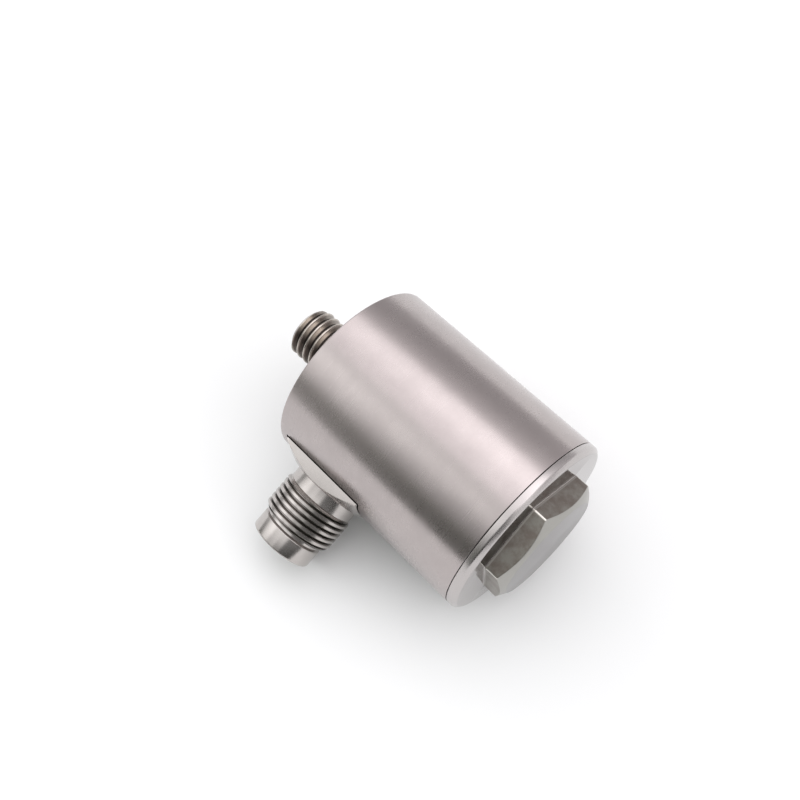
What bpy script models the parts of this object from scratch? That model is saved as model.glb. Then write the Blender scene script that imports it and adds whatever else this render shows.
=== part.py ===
"""Vibration sensor with an M8 mounting stud, a side connector and a hexagon end cap.

The origin is the centre of the mounting face. The body's axis is +Z, away from the machine it is
screwed to, and the connector points along +X.
"""

import math

import bmesh
import bpy
from mathutils import Matrix, Vector

# Every length below is in millimetres and every angle in degrees. MM turns a length into metres.
MM = 0.001

# Clearance between pieces that seat on, or fit in, each other.
GAP = 0.3

# Housing.
HOUSING_R = 14.0
WALL = 3.0
MOUNTING_EDGE = 0.3
SEAM_EDGE = 0.1
FLOOR_OVER_BORE = 0.65

# Mounting stud, M8 x 1.25.
STUD_R = 3.92
STUD_PITCH = 1.25
STUD_THREAD_DEPTH = 0.66
STUD_LENGTH_OUT = 10.0
STUD_LENGTH_IN = 5.2
STUD_END_CHAMFER = 0.55

# Connector: a square wrench base, a neck, a 7/16-28 thread, a relief groove and a plain nose.
CONNECTOR_Z = 8.55
SQUARE_ACROSS_FLATS = 14.0
SQUARE_SINK = 2.1
SQUARE_RISE = 0.25
SQUARE_FOOT_CHAMFER = 0.5
SQUARE_TOP_STEP = 0.25
WRENCH_CHAMFER_ANGLE = 30.0
NECK_R = 5.2
NECK_END = 2.4
THREAD_R = 5.556
THREAD_PITCH = 0.907
THREAD_DEPTH = 0.55
THREAD_LENGTH = 5.5
RELIEF_R = 4.5
RELIEF_LENGTH = 0.5
RELIEF_SLOPE = 0.25
NOSE_R = 4.83
NOSE_LENGTH = 2.7
NOSE_CHAMFER = 0.3
SOCKET_R = 4.07
SOCKET_DEPTH = 8.2
SPIGOT_R = 4.0

# Connector's inner pieces.
INSULATOR_R = 2.3
INSULATOR_FLANGE_LENGTH = 2.0
INSULATOR_RECESS = 0.5
CONTACT_R = 1.1
CONTACT_RECESS = 0.3
CONTACT_HOLE_R = 0.7
CONTACT_HOLE_DEPTH = 5.0
CONTACT_TAIL_R = 0.6
SEAL_MINOR_R = 0.5
SEAL_TO_SPIGOT = 0.7

# Wires.
WIRE_HOLE_R = 1.1
BORE_PAST_WIRE = 0.2
LEAD_R = 0.3
LEAD_TO_SPIGOT = 0.4
LEAD_TO_CAN = 0.9
LEAD_TO_ELEMENT = 0.5

# Sensing element, from the housing floor upwards.
ELEMENT_R = 5.0
SCREW_TO_ELEMENT = 0.6
BASE_INSULATOR_T = 0.5
ELECTRODE_T = 0.2
CRYSTAL_T = 1.0
MASS_T = 3.0
WASHER_T = 0.3
SCREW_R = 1.5
SCREW_DEPTH = 3.0
SCREW_HEAD_R = 3.0
SCREW_HEAD_T = 1.4
SCREW_SOCKET_R = 1.3
SCREW_SOCKET_DEPTH = 0.8
TAB_HALF_WIDTH = 0.6
CAN_WALL = 0.4
CAN_HEADROOM = 0.6
CAN_HOLE_R = 0.7

# Circuit board and its parts: length, width, height and centre of each part on the board.
BOARD_T = 1.0
BOARD_EDGE_GAP = 0.5
SPACER_T = 0.4
CHIP_SIZE = (5.0, 4.0, 1.7)
CHIP_AT = (0.0, 0.0)
COUPLING_SIZE = (3.2, 1.6, 1.6)
COUPLING_AT = (0.5, 5.2)
FILTER_SIZE = (3.5, 2.8, 1.7)
FILTER_AT = (-0.5, -5.4)
RESISTOR_SIZE = (2.0, 1.25, 0.6)
BIAS_AT = (-5.6, 1.6)
FEEDBACK_AT = (-5.6, -1.6)
PART_EDGE = 0.1
PART_HEADROOM = 0.6

# End cap: a spigot with a seal groove, a rim as wide as the housing, and a hexagon.
CAP_SPIGOT_LENGTH = 2.38
CAP_RIM_T = 1.32
CAP_RIM_EDGE = 0.6
CAP_GROOVE_DEPTH = 1.2
CAP_SEAL_R = 0.45
CAP_SEAL_PROUD = 0.1
HEX_ACROSS_FLATS = 17.0
HEX_HEIGHT = 3.24
HEX_TOP_STEP = 0.7
HEX_TURN = 10.7

# Number of segments round each kind of turned piece.
SEGMENTS_BODY = 72
SEGMENTS_CONNECTOR = 48
SEGMENTS_STUD = 30
SEGMENTS_INNER = 32
SEGMENTS_SMALL = 16
SEGMENTS_SEAL = 8

# Sizes that follow from those above. Heights are measured from the mounting face.
CHAMFER_SLOPE = math.tan(math.radians(WRENCH_CHAMFER_ANGLE))
CAVITY_R = HOUSING_R - WALL
STUD_HOLE_R = STUD_R + GAP
STUD_HOLE_DEPTH = STUD_LENGTH_IN + GAP

ELEMENT_HOLE_R = SCREW_R + SCREW_TO_ELEMENT
ELEMENT_LEAD_X = ELEMENT_R + LEAD_TO_ELEMENT + LEAD_R
TAB_END = ELEMENT_LEAD_X + LEAD_R
CAN_INNER_R = TAB_END + LEAD_TO_ELEMENT
CAN_R = CAN_INNER_R + CAN_WALL
WIRE_X = CAN_R + LEAD_TO_CAN + LEAD_R
TAIL_END = WIRE_X - LEAD_R
BORE_END = WIRE_X - WIRE_HOLE_R - BORE_PAST_WIRE
SPIGOT_END = WIRE_X + LEAD_R + LEAD_TO_SPIGOT

SQUARE_HALF = SQUARE_ACROSS_FLATS / 2
POCKET_HALF = SQUARE_HALF + GAP
SQUARE_SEAT = HOUSING_R - SQUARE_SINK
POCKET_FLOOR = SQUARE_SEAT - GAP
SQUARE_TOP = HOUSING_R + SQUARE_RISE
SQUARE_TOP_R = SQUARE_HALF - SQUARE_TOP_STEP
THREAD_START = HOUSING_R + NECK_END
THREAD_END = THREAD_START + THREAD_LENGTH
NOSE_START = THREAD_END + RELIEF_LENGTH + RELIEF_SLOPE
NOSE_END = NOSE_START + NOSE_LENGTH
SOCKET_FLOOR = NOSE_END - SOCKET_DEPTH
BORE_R = SPIGOT_R + GAP

INSULATOR_FLANGE_R = SOCKET_R - GAP
INSULATOR_BORE_R = CONTACT_R + GAP
THROUGH_R = INSULATOR_R + GAP
FLANGE_START = SOCKET_FLOOR + GAP
FLANGE_END = FLANGE_START + INSULATOR_FLANGE_LENGTH
INSULATOR_START = SPIGOT_END + GAP
INSULATOR_END = NOSE_END - INSULATOR_RECESS
CONTACT_END = INSULATOR_END - CONTACT_RECESS
CONTACT_START = INSULATOR_START

SEAL_MAJOR_R = SPIGOT_R + SEAL_TO_SPIGOT + SEAL_MINOR_R
SEAL_X = SQUARE_SEAT + SEAL_MINOR_R
SEAL_GROOVE_IN = SEAL_MAJOR_R - SEAL_MINOR_R - GAP
SEAL_GROOVE_OUT = SEAL_MAJOR_R + SEAL_MINOR_R + GAP
SEAL_GROOVE_TOP = SEAL_X + SEAL_MINOR_R + GAP

FLOOR_Z = CONNECTOR_Z + BORE_R + FLOOR_OVER_BORE
BASE_INSULATOR_Z = FLOOR_Z + GAP
GROUND_Z = BASE_INSULATOR_Z + BASE_INSULATOR_T + GAP
LOWER_CRYSTAL_Z = GROUND_Z + ELECTRODE_T + GAP
SIGNAL_Z = LOWER_CRYSTAL_Z + CRYSTAL_T + GAP
UPPER_CRYSTAL_Z = SIGNAL_Z + ELECTRODE_T + GAP
TOP_ELECTRODE_Z = UPPER_CRYSTAL_Z + CRYSTAL_T + GAP
MASS_Z = TOP_ELECTRODE_Z + ELECTRODE_T + GAP
WASHER_Z = MASS_Z + MASS_T + GAP
HEAD_Z = WASHER_Z + WASHER_T + GAP
HEAD_TOP = HEAD_Z + SCREW_HEAD_T
SCREW_HOLE_R = SCREW_R + GAP
SCREW_HOLE_FLOOR = FLOOR_Z - SCREW_DEPTH
CAN_CEILING = HEAD_TOP + CAN_HEADROOM
CAN_TOP = CAN_CEILING + CAN_WALL

SPACER_Z = CAN_TOP + GAP
SPACER_INNER_R = TAB_END + GAP
BOARD_Z = SPACER_Z + SPACER_T + GAP
BOARD_TOP = BOARD_Z + BOARD_T
BOARD_R = CAVITY_R - BOARD_EDGE_GAP
PART_Z = BOARD_TOP + GAP
PART_TOP = PART_Z + max(CHIP_SIZE[2], COUPLING_SIZE[2], FILTER_SIZE[2], RESISTOR_SIZE[2])

CAP_SPIGOT_R = CAVITY_R - GAP
CAP_SPIGOT_Z = PART_TOP + PART_HEADROOM
HOUSING_TOP = CAP_SPIGOT_Z + CAP_SPIGOT_LENGTH
RIM_Z = HOUSING_TOP + GAP
RIM_TOP = RIM_Z + CAP_RIM_T
CAP_GROOVE_R = CAP_SPIGOT_R - CAP_GROOVE_DEPTH
CAP_SEAL_MAJOR_R = CAP_SPIGOT_R - CAP_SEAL_R + CAP_SEAL_PROUD
CAP_SEAL_Z = (CAP_SPIGOT_Z + HOUSING_TOP) / 2
HEX_HALF = HEX_ACROSS_FLATS / 2
HEX_TOP_R = HEX_HALF - HEX_TOP_STEP
HEX_TOP = RIM_TOP + HEX_HEIGHT


def clear_scene():
    """Removes whatever the file holds, so that only this part is left."""
    for old in list(bpy.data.objects):
        bpy.data.objects.remove(old, do_unlink=True)


def material(name, color, metallic, roughness):
    """Makes one Principled BSDF material."""
    made = bpy.data.materials.new(name)
    made.use_nodes = True
    shader = made.node_tree.nodes["Principled BSDF"]
    shader.inputs["Base Color"].default_value = (*color, 1.0)
    shader.inputs["Metallic"].default_value = metallic
    shader.inputs["Roughness"].default_value = roughness
    made.diffuse_color = (*color, 1.0)
    return made


def place(name, mesh, surface, location=(0.0, 0.0, 0.0), turn=Matrix.Identity(3)):
    """Adds a mesh to the scene as a named object with its own material."""
    mesh.materials.append(surface)
    mesh.shade_smooth()
    mesh.set_sharp_from_angle(angle=math.radians(25.0))
    made = bpy.data.objects.new(name, mesh)
    made.location = Vector(location) * MM
    made.rotation_euler = turn.to_euler()
    bpy.context.scene.collection.objects.link(made)
    return made


def wrap(name, sections, closed=False):
    """Skins a ring of (angle, points) sections, each point a radius and a height.

    All sections have as many points. Points that meet are merged, so a section may start and end on
    the axis, or its points may share a height where a thread is cut off.
    """
    cell = bmesh.new()
    found = {}

    def vertex(angle, radius, height):
        at = (radius * math.cos(angle), radius * math.sin(angle), height)
        key = tuple(round(value, 6) for value in at)
        if key not in found:
            found[key] = cell.verts.new(Vector(at) * MM)
        return found[key]

    columns = [[vertex(angle, *point) for point in points] for angle, points in sections]
    count = len(columns[0])
    for index, left in enumerate(columns[:-1]):
        right = columns[index + 1]
        for low in range(count if closed else count - 1):
            high = (low + 1) % count
            corners = []
            for corner in (left[low], right[low], right[high], left[high]):
                if corner not in corners:
                    corners.append(corner)
            if len(corners) > 2:
                cell.faces.new(corners)
    mesh = bpy.data.meshes.new(name)
    cell.to_mesh(mesh)
    cell.free()
    return mesh


def ring_angles(steps, start=0.0):
    """Angles of equal steps round a full turn, with the first one repeated at the end."""
    return [start + 2.0 * math.pi * index / steps for index in range(steps + 1)]


def turned(name, profile, steps, closed=False, start=0.0):
    """Turns a profile of (radius, height) points, listed up the outside, about the Z axis."""
    return wrap(name, [(angle, profile) for angle in ring_angles(steps, start)], closed)


def ring_profile(inner, outer, low, high):
    """Profile of a plain ring, for use with closed=True."""
    return [(inner, low), (outer, low), (outer, high), (inner, high)]


def seal_profile(major, minor, height):
    """Round section of a sealing ring."""
    points = []
    for index in range(SEGMENTS_SEAL):
        angle = 2.0 * math.pi * (index + 0.5) / SEGMENTS_SEAL
        points.append((major - minor * math.cos(angle), height - minor * math.sin(angle)))
    return points


def polygon_radius(angle, sides, half):
    """Distance from the centre to a regular polygon's edge, with a corner at angle zero."""
    sector = 2.0 * math.pi / sides
    return half / math.cos(angle % sector - sector / 2.0)


def thread_levels(angle, low, high, pitch, root, crest, limit):
    """Points up one side of a right-hand thread at one angle, cut off at low and high.

    limit gives the largest radius at a height, which cuts the end chamfers into the thread.
    """
    turn = angle / (2.0 * math.pi)
    points = []
    for index in range(-2, int((high - low) / pitch) + 3):
        for share, radius in ((0.0, root), (0.42, crest), (0.58, crest)):
            height = low + pitch * (index + share + turn)
            at = min(max(height, low), high)
            if at != height:
                inside = (at - low) / pitch - turn
                share_here = inside - math.floor(inside)
                radius = root + (crest - root) * min(1.0, share_here / 0.42, (1.0 - share_here) / 0.42)
            points.append((min(radius, limit(at)), at))
    return points


def cut(body, cutters):
    """Cuts each cutter out of a body with a Boolean that stays on it."""
    for cutter in cutters:
        cutter.hide_render = True
        cutter.display_type = "WIRE"
        step = body.modifiers.new("Cut " + cutter.name, "BOOLEAN")
        step.operation = "DIFFERENCE"
        step.solver = "EXACT"
        step.object = cutter


def box_mesh(name, low, high, edge=0.0):
    """A box between two corners, with its upright and top edges bevelled when edge is given."""
    cell = bmesh.new()
    size = Vector(high) - Vector(low)
    middle = (Vector(high) + Vector(low)) / 2.0
    bmesh.ops.create_cube(cell, size=1.0)
    bmesh.ops.scale(cell, vec=size * MM, verts=cell.verts)
    bmesh.ops.translate(cell, vec=middle * MM, verts=cell.verts)
    if edge:
        floor = min(vert.co.z for vert in cell.verts)
        upper = [item for item in cell.edges if max(vert.co.z for vert in item.verts) > floor + MM * edge]
        bmesh.ops.bevel(cell, geom=upper, offset=edge * MM, segments=1, affect="EDGES")
    mesh = bpy.data.meshes.new(name)
    cell.to_mesh(mesh)
    cell.free()
    return mesh


# A turn that lays a piece modelled about Z along +X.
ALONG_X = Matrix.Rotation(math.radians(90.0), 3, "Y")


def build_housing(surface):
    """The body: a solid base with the stud hole, and a cavity that is open at the top."""
    profile = [
        (0.0, STUD_HOLE_DEPTH),
        (STUD_HOLE_R, STUD_HOLE_DEPTH),
        (STUD_HOLE_R, 0.0),
        (HOUSING_R - MOUNTING_EDGE, 0.0),
        (HOUSING_R, MOUNTING_EDGE),
        (HOUSING_R, HOUSING_TOP - SEAM_EDGE),
        (HOUSING_R - SEAM_EDGE, HOUSING_TOP),
        (CAVITY_R, HOUSING_TOP),
        (CAVITY_R, FLOOR_Z),
        (SCREW_HOLE_R, FLOOR_Z),
        (SCREW_HOLE_R, SCREW_HOLE_FLOOR),
        (0.0, SCREW_HOLE_FLOOR),
    ]
    half_step = math.pi / SEGMENTS_BODY
    body = place("housing", turned("housing", profile, SEGMENTS_BODY, start=half_step), surface)

    reach = HOUSING_R + WALL
    pocket = box_mesh(
        "pocket_cutter",
        (POCKET_FLOOR, -POCKET_HALF, CONNECTOR_Z - POCKET_HALF),
        (reach, POCKET_HALF, CONNECTOR_Z + POCKET_HALF),
    )
    bore_profile = [(0.0, BORE_END), (BORE_R, BORE_END), (BORE_R, reach), (0.0, reach)]
    bore = turned("bore_cutter", bore_profile, SEGMENTS_INNER)
    wire_top = FLOOR_Z + WALL
    wire_profile = [(0.0, CONNECTOR_Z), (WIRE_HOLE_R, CONNECTOR_Z), (WIRE_HOLE_R, wire_top), (0.0, wire_top)]
    wire = turned("wire_hole_cutter", wire_profile, SEGMENTS_SMALL)
    cutters = [
        place("pocket_cutter", pocket, surface),
        place("bore_cutter", bore, surface, (0.0, 0.0, CONNECTOR_Z), ALONG_X),
        place("wire_hole_cutter", wire, surface, (WIRE_X, 0.0, 0.0)),
    ]
    cut(body, cutters)


def build_stud(surface):
    """The threaded mounting stud: its thread shows, and its plain shank sits in the housing."""
    crest = STUD_R
    root = STUD_R - STUD_THREAD_DEPTH

    def limit(height):
        return crest - STUD_END_CHAMFER + max(0.0, height + STUD_LENGTH_OUT)

    sections = []
    for angle in ring_angles(SEGMENTS_STUD):
        points = [(0.0, -STUD_LENGTH_OUT)]
        points += thread_levels(angle, -STUD_LENGTH_OUT, 0.0, STUD_PITCH, root, crest, limit)
        points += [(crest, GAP), (crest, STUD_LENGTH_IN - STUD_END_CHAMFER)]
        points += [(crest - STUD_END_CHAMFER, STUD_LENGTH_IN), (0.0, STUD_LENGTH_IN)]
        sections.append((angle, points))
    place("mounting_stud", wrap("mounting_stud", sections), surface)


def build_connector(surface):
    """The connector shell: spigot, square wrench base, neck, thread, relief groove and nose."""
    crest = THREAD_R
    root = THREAD_R - THREAD_DEPTH
    lead_in = THREAD_START + THREAD_DEPTH
    run_out = THREAD_END - THREAD_DEPTH

    def limit(height):
        return crest - max(0.0, lead_in - height, height - run_out)

    sections = []
    for angle in ring_angles(SEGMENTS_CONNECTOR, math.pi / 4.0):
        edge = polygon_radius(angle - math.pi / 4.0, 4, SQUARE_HALF)
        foot = polygon_radius(angle - math.pi / 4.0, 4, SQUARE_HALF - SQUARE_FOOT_CHAMFER)
        points = [
            (THROUGH_R, SPIGOT_END),
            (SPIGOT_R, SPIGOT_END),
            (SPIGOT_R, SQUARE_SEAT),
            (SEAL_GROOVE_IN, SQUARE_SEAT),
            (SEAL_GROOVE_IN, SEAL_GROOVE_TOP),
            (SEAL_GROOVE_OUT, SEAL_GROOVE_TOP),
            (SEAL_GROOVE_OUT, SQUARE_SEAT),
            (foot, SQUARE_SEAT),
            (edge, SQUARE_SEAT + SQUARE_FOOT_CHAMFER),
            (edge, SQUARE_TOP - (edge - SQUARE_TOP_R) * CHAMFER_SLOPE),
            (SQUARE_TOP_R, SQUARE_TOP),
            (NECK_R, SQUARE_TOP),
            (NECK_R, THREAD_START),
        ]
        points += thread_levels(angle, THREAD_START, THREAD_END, THREAD_PITCH, root, crest, limit)
        points += [
            (RELIEF_R, THREAD_END),
            (RELIEF_R, THREAD_END + RELIEF_LENGTH),
            (NOSE_R, NOSE_START),
            (NOSE_R, NOSE_END - NOSE_CHAMFER),
            (NOSE_R - NOSE_CHAMFER, NOSE_END),
            (SOCKET_R, NOSE_END),
            (SOCKET_R, SOCKET_FLOOR),
            (THROUGH_R, SOCKET_FLOOR),
        ]
        sections.append((angle, points))
    mesh = wrap("connector_body", sections, closed=True)
    place("connector_body", mesh, surface, (0.0, 0.0, CONNECTOR_Z), ALONG_X)


def build_connector_inside(plastic, gold, rubber):
    """The dielectric, the centre contact and the sealing ring under the square base."""
    dielectric = [
        (INSULATOR_BORE_R, INSULATOR_START),
        (INSULATOR_R, INSULATOR_START),
        (INSULATOR_R, FLANGE_START),
        (INSULATOR_FLANGE_R, FLANGE_START),
        (INSULATOR_FLANGE_R, FLANGE_END),
        (INSULATOR_R, FLANGE_END),
        (INSULATOR_R, INSULATOR_END),
        (INSULATOR_BORE_R, INSULATOR_END),
    ]
    contact = [
        (0.0, TAIL_END),
        (CONTACT_TAIL_R, TAIL_END),
        (CONTACT_TAIL_R, CONTACT_START),
        (CONTACT_R, CONTACT_START),
        (CONTACT_R, CONTACT_END),
        (CONTACT_HOLE_R, CONTACT_END),
        (CONTACT_HOLE_R, CONTACT_END - CONTACT_HOLE_DEPTH),
        (0.0, CONTACT_END - CONTACT_HOLE_DEPTH),
    ]
    at = (0.0, 0.0, CONNECTOR_Z)
    mesh = turned("connector_insulator", dielectric, SEGMENTS_INNER, closed=True)
    place("connector_insulator", mesh, plastic, at, ALONG_X)
    place("centre_contact", turned("centre_contact", contact, SEGMENTS_SMALL), gold, at, ALONG_X)
    seal = seal_profile(SEAL_MAJOR_R, SEAL_MINOR_R, SEAL_X)
    place("connector_seal", turned("connector_seal", seal, SEGMENTS_INNER, closed=True), rubber, at, ALONG_X)


def build_end_cap(surface, rubber):
    """The cap: spigot with a seal groove, rim and chamfered hexagon, and its sealing ring."""
    groove_half = CAP_SEAL_R + GAP
    sections = []
    turn = math.radians(HEX_TURN)
    for angle in ring_angles(SEGMENTS_BODY, turn):
        edge = polygon_radius(angle - turn, 6, HEX_HALF)
        points = [
            (0.0, CAP_SPIGOT_Z),
            (CAP_SPIGOT_R, CAP_SPIGOT_Z),
            (CAP_SPIGOT_R, CAP_SEAL_Z - groove_half),
            (CAP_GROOVE_R, CAP_SEAL_Z - groove_half),
            (CAP_GROOVE_R, CAP_SEAL_Z + groove_half),
            (CAP_SPIGOT_R, CAP_SEAL_Z + groove_half),
            (CAP_SPIGOT_R, RIM_Z),
            (HOUSING_R - SEAM_EDGE, RIM_Z),
            (HOUSING_R, RIM_Z + SEAM_EDGE),
            (HOUSING_R, RIM_TOP - CAP_RIM_EDGE),
            (HOUSING_R - CAP_RIM_EDGE, RIM_TOP),
            (edge, RIM_TOP),
            (edge, HEX_TOP - (edge - HEX_TOP_R) * CHAMFER_SLOPE),
            (HEX_TOP_R, HEX_TOP),
            (0.0, HEX_TOP),
        ]
        sections.append((angle, points))
    place("end_cap", wrap("end_cap", sections), surface)
    seal = seal_profile(CAP_SEAL_MAJOR_R, CAP_SEAL_R, CAP_SEAL_Z)
    place("cap_seal", turned("cap_seal", seal, SEGMENTS_INNER, closed=True), rubber)


def build_element(plastic, bronze, ceramic, tungsten, spring_steel, screw_steel, can_steel):
    """The stack of rings on the housing floor, its screw, and the can over it."""

    def ring(name, low, thickness, surface, outer=ELEMENT_R):
        profile = ring_profile(ELEMENT_HOLE_R, outer, low, low + thickness)
        place(name, turned(name, profile, SEGMENTS_INNER, closed=True), surface)

    ring("base_insulator", BASE_INSULATOR_Z, BASE_INSULATOR_T, plastic)
    ring("ground_electrode", GROUND_Z, ELECTRODE_T, bronze)
    ring("lower_crystal", LOWER_CRYSTAL_Z, CRYSTAL_T, ceramic)
    ring("upper_crystal", UPPER_CRYSTAL_Z, CRYSTAL_T, ceramic)
    ring("top_electrode", TOP_ELECTRODE_Z, ELECTRODE_T, bronze)
    ring("seismic_mass", MASS_Z, MASS_T, tungsten)
    ring("spring_washer", WASHER_Z, WASHER_T, spring_steel, SCREW_HEAD_R + GAP)

    tab_outer = math.atan2(TAB_HALF_WIDTH, TAB_END)
    tab_inner = math.asin(TAB_HALF_WIDTH / ELEMENT_R)
    outline = [(-tab_outer, TAB_END / math.cos(tab_outer)), (tab_outer, TAB_END / math.cos(tab_outer))]
    for index in range(SEGMENTS_INNER):
        angle = tab_inner + (2.0 * math.pi - 2.0 * tab_inner) * index / (SEGMENTS_INNER - 1)
        outline.append((angle, ELEMENT_R))
    outline.append((2.0 * math.pi - tab_outer, outline[0][1]))
    sections = []
    for angle, outer in outline:
        sections.append((angle, ring_profile(ELEMENT_HOLE_R, outer, SIGNAL_Z, SIGNAL_Z + ELECTRODE_T)))
    place("signal_electrode", wrap("signal_electrode", sections, closed=True), bronze)

    screw = [
        (0.0, SCREW_HOLE_FLOOR + GAP),
        (SCREW_R, SCREW_HOLE_FLOOR + GAP),
        (SCREW_R, HEAD_Z),
        (SCREW_HEAD_R, HEAD_Z),
        (SCREW_HEAD_R, HEAD_TOP),
        (SCREW_SOCKET_R, HEAD_TOP),
        (SCREW_SOCKET_R, HEAD_TOP - SCREW_SOCKET_DEPTH),
        (0.0, HEAD_TOP - SCREW_SOCKET_DEPTH),
    ]
    place("preload_screw", turned("preload_screw", screw, SEGMENTS_SMALL), screw_steel)

    can = [
        (0.0, CAN_CEILING),
        (CAN_INNER_R, CAN_CEILING),
        (CAN_INNER_R, FLOOR_Z + GAP),
        (CAN_R, FLOOR_Z + GAP),
        (CAN_R, CAN_TOP),
        (0.0, CAN_TOP),
    ]
    shield = place("shield_can", turned("shield_can", can, SEGMENTS_INNER), can_steel)
    low = CAN_CEILING - CAN_WALL
    high = CAN_TOP + CAN_WALL
    hole = [(0.0, low), (CAN_HOLE_R, low), (CAN_HOLE_R, high), (0.0, high)]
    mesh = turned("can_hole_cutter", hole, SEGMENTS_SMALL)
    cut(shield, [place("can_hole_cutter", mesh, can_steel, (ELEMENT_LEAD_X, 0.0, 0.0))])


def build_board(spacer_plastic, laminate, epoxy, ceramic, tantalum, resistor_body):
    """The circuit board on a spacer over the can, with the parts of a charge amplifier."""
    spacer = ring_profile(SPACER_INNER_R, CAN_R, SPACER_Z, SPACER_Z + SPACER_T)
    place("board_spacer", turned("board_spacer", spacer, SEGMENTS_INNER, closed=True), spacer_plastic)
    disc = [(0.0, BOARD_Z), (BOARD_R, BOARD_Z), (BOARD_R, BOARD_TOP), (0.0, BOARD_TOP)]
    place("circuit_board", turned("circuit_board", disc, SEGMENTS_INNER), laminate)
    parts = [
        ("amplifier_chip", CHIP_SIZE, CHIP_AT, epoxy),
        ("coupling_capacitor", COUPLING_SIZE, COUPLING_AT, ceramic),
        ("filter_capacitor", FILTER_SIZE, FILTER_AT, tantalum),
        ("bias_resistor", RESISTOR_SIZE, BIAS_AT, resistor_body),
        ("feedback_resistor", RESISTOR_SIZE, FEEDBACK_AT, resistor_body),
    ]
    for name, size, at, surface in parts:
        low = (at[0] - size[0] / 2, at[1] - size[1] / 2, PART_Z)
        high = (at[0] + size[0] / 2, at[1] + size[1] / 2, PART_Z + size[2])
        place(name, box_mesh(name, low, high, PART_EDGE), surface)


def build_leads(copper, insulation):
    """Straight wires from the contact, the signal electrode and the housing floor to the board."""
    top = BOARD_Z - GAP
    leads = [
        ("signal_lead", WIRE_X, CONNECTOR_Z + CONTACT_TAIL_R + GAP, insulation),
        ("element_lead", ELEMENT_LEAD_X, SIGNAL_Z + ELECTRODE_T + GAP, insulation),
        ("ground_lead", -WIRE_X, FLOOR_Z + GAP, copper),
    ]
    for name, x, low, surface in leads:
        profile = [(0.0, low), (LEAD_R, low), (LEAD_R, top), (0.0, top)]
        place(name, turned(name, profile, SEGMENTS_SMALL), surface, (x, 0.0, 0.0))


def main():
    clear_scene()
    stainless = material("stainless_steel", (0.53, 0.50, 0.48), 1.0, 0.34)
    stud_steel = material("stud_steel", (0.47, 0.43, 0.38), 1.0, 0.36)
    connector_steel = material("connector_steel", (0.55, 0.52, 0.49), 1.0, 0.28)
    cap_steel = material("cap_steel", (0.50, 0.47, 0.45), 1.0, 0.36)
    white_plastic = material("white_dielectric", (0.85, 0.84, 0.80), 0.0, 0.45)
    gold = material("gold_plate", (0.83, 0.62, 0.25), 1.0, 0.25)
    rubber = material("seal_rubber", (0.03, 0.03, 0.03), 0.0, 0.7)
    amber_plastic = material("insulating_washer", (0.62, 0.33, 0.08), 0.0, 0.5)
    bronze = material("electrode_bronze", (0.66, 0.40, 0.20), 1.0, 0.3)
    crystal = material("piezo_ceramic", (0.78, 0.74, 0.66), 0.0, 0.55)
    tungsten = material("heavy_metal", (0.30, 0.30, 0.31), 1.0, 0.4)
    spring_steel = material("spring_steel", (0.42, 0.42, 0.44), 1.0, 0.3)
    screw_steel = material("screw_steel", (0.50, 0.50, 0.52), 1.0, 0.32)
    can_steel = material("tinned_sheet", (0.62, 0.63, 0.64), 1.0, 0.35)
    spacer_plastic = material("black_moulding", (0.05, 0.05, 0.055), 0.0, 0.5)
    laminate = material("green_laminate", (0.05, 0.22, 0.10), 0.0, 0.4)
    epoxy = material("black_epoxy", (0.03, 0.03, 0.03), 0.0, 0.45)
    capacitor = material("capacitor_ceramic", (0.55, 0.42, 0.28), 0.0, 0.5)
    tantalum = material("capacitor_moulding", (0.70, 0.48, 0.10), 0.0, 0.45)
    resistor_body = material("resistor_body", (0.06, 0.06, 0.08), 0.0, 0.4)
    copper = material("copper_wire", (0.72, 0.38, 0.22), 1.0, 0.3)
    insulation = material("wire_insulation", (0.75, 0.10, 0.08), 0.0, 0.5)

    build_housing(stainless)
    build_stud(stud_steel)
    build_connector(connector_steel)
    build_connector_inside(white_plastic, gold, rubber)
    build_end_cap(cap_steel, rubber)
    build_element(amber_plastic, bronze, crystal, tungsten, spring_steel, screw_steel, can_steel)
    build_board(spacer_plastic, laminate, epoxy, capacitor, tantalum, resistor_body)
    build_leads(copper, insulation)


main()
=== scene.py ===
"""Looks of the vibration sensor: fine turned surfaces, steel finishes, studio light and camera."""

import math

import bpy
from mathutils import Matrix, Vector


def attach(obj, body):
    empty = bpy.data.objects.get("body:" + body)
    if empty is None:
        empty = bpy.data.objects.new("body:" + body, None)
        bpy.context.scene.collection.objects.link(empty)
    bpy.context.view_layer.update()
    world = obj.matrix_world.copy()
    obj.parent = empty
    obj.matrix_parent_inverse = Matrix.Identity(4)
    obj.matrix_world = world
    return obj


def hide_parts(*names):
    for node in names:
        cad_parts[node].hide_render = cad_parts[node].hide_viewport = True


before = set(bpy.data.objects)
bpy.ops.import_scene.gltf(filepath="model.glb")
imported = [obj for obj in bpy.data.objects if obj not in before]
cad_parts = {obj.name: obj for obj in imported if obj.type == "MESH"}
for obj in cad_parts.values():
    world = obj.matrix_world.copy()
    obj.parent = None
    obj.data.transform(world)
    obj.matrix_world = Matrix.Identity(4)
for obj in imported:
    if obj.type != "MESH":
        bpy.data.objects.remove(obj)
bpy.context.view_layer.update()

MM = 0.001
TURN = 2.0 * math.pi

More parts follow.
